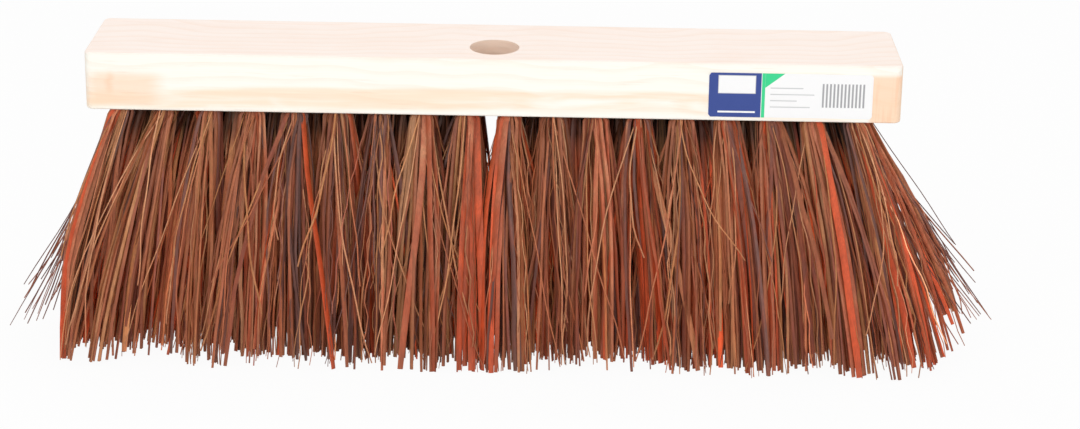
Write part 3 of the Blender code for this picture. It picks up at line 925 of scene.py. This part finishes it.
def plan_locks(rng, tuft, chances):
    """What a tuft's fibres share: its locks' places, lean, colour and length, and its own fan and swing."""
    bright_chance = np.interp(tuft.x, BRIGHT_TURN_AT, BRIGHT_LOCK_CHANCE)
    swing = rng.normal(0, (0.0032, 0.0020))
    # Beside the notch and at the ends a tuft swings less.
    if tuft.index == 1:
        swing[0] *= 0.3
    if tuft.index >= HALF_ROW - 1:
        outwards = 0.0005 * (tuft.index - HALF_ROW + 2) if tuft.side > 0 else 0.0
        swing = np.array([outwards, 0.3 * swing[1]])
    return dict(seed=disc(rng, LOCKS, MOUTH_RADIUS), lean=rng.normal(0, 0.0036, (LOCKS, 2)),
                kind=rng.choice(len(KINDS), LOCKS, p=chances), swing=swing,
                short=TIPS_SHORT_BY + rng.normal(0, 0.0005) + rng.normal(0, 0.0011, LOCKS),
                bright=rng.integers(0, LOCKS) if rng.random() < bright_chance else -1,
                fan=rng.normal(1.0, 0.08), fineness=rng.random() ** 1.4, level=rng.normal(1.0, 0.05))


def grow_tuft(rng, tuft):
    """One tuft: stalks, strips and hairs in a few locks, strays on the outside and wires at the ends."""
    chances = kind_chances(tuft.x)
    chances[rng.integers(0, FAVOURED_KINDS)] += FAVOUR
    chances /= chances.sum()
    locks = plan_locks(rng, tuft, chances)
    groups = [grow_sort(rng, name, tuft, locks, chances) for name in SORTS]
    if abs(tuft.row) == OUTER_ROW:
        groups.append(grow_strays(rng, tuft))
    if tuft.index == HALF_ROW and tuft.row % 2 == 0:
        groups.append(grow_wires(rng, tuft))
    return groups


def tube_arrays(group):
    """Corner points, faces and per-point values of closed fibres with one number of sides."""
    points, sides = group["points"], group["sides"]
    count, rings = points.shape[:2]
    ahead = np.gradient(points, axis=1)
    ahead /= np.linalg.norm(ahead, axis=2, keepdims=True)
    side = np.stack([np.cos(group["facing"]), np.sin(group["facing"]), np.zeros(count)], 1)[:, None, :]
    side = side - ahead * (side * ahead).sum(2, keepdims=True)
    side /= np.linalg.norm(side, axis=2, keepdims=True)
    other = np.cross(ahead, side)
    taper = np.ones(rings)
    taper[-1] = 0.85
    corners = []
    for k in range(sides):
        angle = math.tau * k / sides
        corners.append(points + side * (math.cos(angle) * group["width"][:, None] * taper)[..., None]
                       + other * (math.sin(angle) * group["thick"][:, None] * taper)[..., None])
    verts = np.stack(corners, 2).reshape(-1, 3)
    verts[:, 2] = np.maximum(verts[:, 2], 0.0)

    ring = np.arange(rings - 1)[:, None] * sides
    k = np.arange(sides)
    following = (k + 1) % sides
    quads = np.stack([ring + k, ring + following, ring + sides + following, ring + sides + k], 2)
    starts = (np.arange(count) * rings * sides)[:, None, None]
    side_faces = (quads.reshape(-1, 4)[None] + starts).reshape(-1, 4)
    caps = np.array([np.arange(sides)[::-1], (rings - 1) * sides + np.arange(sides)])
    cap_faces = (caps[None] + starts).reshape(-1, sides)
    along = np.tile(np.repeat(group["along"], sides), count)
    across = np.tile(0.5 + 0.25 * np.cos(math.tau * np.arange(sides) / sides), count * rings)
    return dict(verts=verts, faces=[side_faces, cap_faces], count=count, per_fibre=rings * sides,
                along=along, across=across, tone=np.repeat(group["tone"], sides),
                shade=np.repeat(group["shade"], sides))


def add_baking_map(mesh, parts, joined, loops):
    """A map for baking in which every fibre has its own column, so that no two share a texel."""
    sizes = np.repeat([part["per_fibre"] for part in parts], [part["count"] for part in parts])
    count = len(sizes)
    bands = 1 if count <= 100 else 2 if count <= 200 else 4
    columns = -(-count // bands)
    fibre = np.repeat(np.arange(count), sizes)
    u = (fibre % columns + joined["across"]) / columns
    v = (fibre // columns + 0.04 + 0.92 * joined["along"]) / bands
    uv = mesh.uv_layers.new(name="OFBake")
    uv.data.foreach_set("uv", np.stack([u[loops], v[loops]], 1).astype(np.float32).ravel())


def fibres_mesh(name, groups):
    """One mesh of closed fibres, with attributes for the material and a map for baking."""
    parts = [tube_arrays(group) for group in groups]
    joined = {key: np.concatenate([part[key] for part in parts])
              for key in ("verts", "tone", "shade", "along", "across")}
    loops, starts, offset, place = [], [], 0, 0
    for part in parts:
        for faces in part["faces"]:
            loops.append((faces + offset).ravel())
            starts.append(place + np.arange(len(faces)) * faces.shape[1])
            place += faces.size
        offset += len(part["verts"])
    loops = np.concatenate(loops).astype(np.int32)
    starts = np.concatenate(starts).astype(np.int32)

    mesh = bpy.data.meshes.new(name)
    mesh.vertices.add(len(joined["verts"]))
    mesh.vertices.foreach_set("co", joined["verts"].astype(np.float32).ravel())
    mesh.loops.add(len(loops))
    mesh.loops.foreach_set("vertex_index", loops)
    mesh.polygons.add(len(starts))
    mesh.polygons.foreach_set("loop_start", starts)
    mesh.update(calc_edges=True)
    mesh.validate()
    for key in ("tone", "shade", "along"):
        layer = mesh.attributes.new(key, "FLOAT", "POINT")
        layer.data.foreach_set("value", joined[key].astype(np.float32))
    add_baking_map(mesh, parts, joined, loops)
    shade_smooth_but(mesh, 60.0)
    return mesh


def node_of(tuft):
    """The CAD node that holds a tuft."""
    if abs(tuft.row) == OUTER_ROW:
        from_left = HALF_ROW + tuft.index if tuft.side > 0 else HALF_ROW + 1 - tuft.index
        return f"tuft_{'front' if tuft.row < 0 else 'rear'}_{from_left:02d}"
    hand = "left" if tuft.side < 0 else "right"
    if tuft.index == HALF_ROW:
        return f"tuft_{hand}_{('front', 'middle', 'rear')[tuft.row + 1]}_{HALF_ROW}"
    return f"tufts_inner_{hand}_{tuft.index}"


def build_bristles(material):
    """One piece of fibres for each CAD node of tufts."""
    rng = np.random.default_rng(SEED)
    held = {}
    for tuft in all_tufts():
        held.setdefault(node_of(tuft), []).extend(grow_tuft(rng, tuft))
    for node in sorted(held):
        name = node.replace("tufts_", "bristles_").replace("tuft_", "bristles_")
        piece = link_object(name, fibres_mesh(name, held[node]), material)
        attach(piece, "root")
        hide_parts(node)


# Camera, light and floor

CAMERA_PLACE = (0.038, -1.3115, 0.5195)
CAMERA_LENS = 90.97
# Its yaw, pitch and roll, in degrees
CAMERA_TURN = (-0.63, 19.24, 0.85)
WHITE = (1.0, 1.0, 1.0, 1.0)
WORLD_LIGHT = 0.545
FLOOR_HALF_SIZE = 6.0
FLOOR_COLOUR = (0.82, 0.82, 0.82, 1.0)
FLOOR_SEEN_WHITE = 0.94


def place_camera():
    """At the photograph's angle: a long lens, a little right of the middle, looking down on the front."""
    yaw, pitch, roll = (math.radians(angle) for angle in CAMERA_TURN)
    level = math.cos(pitch)
    ahead = Vector((math.sin(yaw) * level, math.cos(yaw) * level, -math.sin(pitch)))
    right = Vector((math.cos(yaw), -math.sin(yaw), 0.0))
    up = right.cross(ahead)
    right_rolled = right * math.cos(roll) + up * math.sin(roll)
    up_rolled = up * math.cos(roll) - right * math.sin(roll)
    camera = link_object("camera", bpy.data.cameras.new("camera"))
    turn = Matrix((right_rolled, up_rolled, -ahead)).transposed().to_4x4()
    camera.matrix_world = Matrix.Translation(CAMERA_PLACE) @ turn
    camera.data.sensor_width = 36.0
    camera.data.lens = CAMERA_LENS
    camera.data.clip_start, camera.data.clip_end = 0.05, 50.0
    bpy.context.scene.camera = camera


def area_light(name, place, aim_height, size, power, colour=(1.0, 1.0, 1.0)):
    """A rectangular light that faces a point so high over the broom's middle."""
    light = bpy.data.lights.new(name, "AREA")
    light.shape = "RECTANGLE"
    light.size, light.size_y = size
    light.energy = power
    light.color = colour
    obj = link_object(name, light)
    obj.location = place
    obj.rotation_mode = "QUATERNION"
    aim = Vector((0.0, 0.0, aim_height))
    obj.rotation_quaternion = (aim - Vector(place)).to_track_quat("-Z", "Y")


def seen_as(n, seen, lit, share=1.0):
    """The camera, reflections and glass see one shader, by its share, and all other light meets another."""
    path = n.add("ShaderNodeLightPath").outputs
    factor = path["Is Camera Ray"]
    for ray in ("Is Glossy Ray", "Is Transmission Ray"):
        factor = n.math("MAXIMUM", factor, path[ray])
    return n.add("ShaderNodeMixShader", {0: n.times(factor, share), 1: lit, 2: seen}).outputs[0]


def light_the_scene():
    """Soft studio light: a key, a fill, a top light and a pale world that the camera sees as white."""
    area_light("key", (-0.8, -1.7, 1.2), 0.08, (1.5, 1.1), 15.15)
    area_light("fill", (1.0, -1.8, 0.6), 0.07, (1.5, 1.0), 11.0)
    area_light("top", (0.1, 0.5, 1.6), 0.12, (1.6, 1.2), 8.8, (1.0, 0.98, 0.97))
    n = Nodes(bpy.data.worlds.new("studio"))
    n.tree.nodes.clear()
    seen, lit = (n.add("ShaderNodeBackground", {"Color": WHITE, "Strength": strength}).outputs[0]
                 for strength in (1.0, WORLD_LIGHT))
    n.add("ShaderNodeOutputWorld", {"Surface": seen_as(n, seen, lit)})
    bpy.context.scene.world = n.owner


def lay_floor():
    """A floor that is white to the camera but for a faint shadow of the broom."""
    mesh = bpy.data.meshes.new("floor")
    corners = [(sx * FLOOR_HALF_SIZE, sy * FLOOR_HALF_SIZE, 0.0)
               for sx, sy in ((-1, -1), (1, -1), (1, 1), (-1, 1))]
    mesh.from_pydata(corners, [], [(0, 1, 2, 3)])
    n = Nodes(bpy.data.materials.new("floor"))
    n.tree.nodes.clear()
    plain = n.add("ShaderNodeBsdfDiffuse", {"Color": FLOOR_COLOUR}).outputs[0]
    glow = n.add("ShaderNodeEmission", {"Color": WHITE, "Strength": 1.0}).outputs[0]
    n.add("ShaderNodeOutputMaterial", {"Surface": seen_as(n, glow, plain, FLOOR_SEEN_WHITE)})
    floor = link_object("floor", mesh, n.owner)


# Put together

bpy.context.scene.view_settings.view_transform = "Standard"
place_camera()
light_the_scene()
lay_floor()

block = build_block(wood_material())
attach(block, "root")
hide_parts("block")

label = build_label(label_material())
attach(label, "root")
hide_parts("label")

build_bristles(fibre_material())
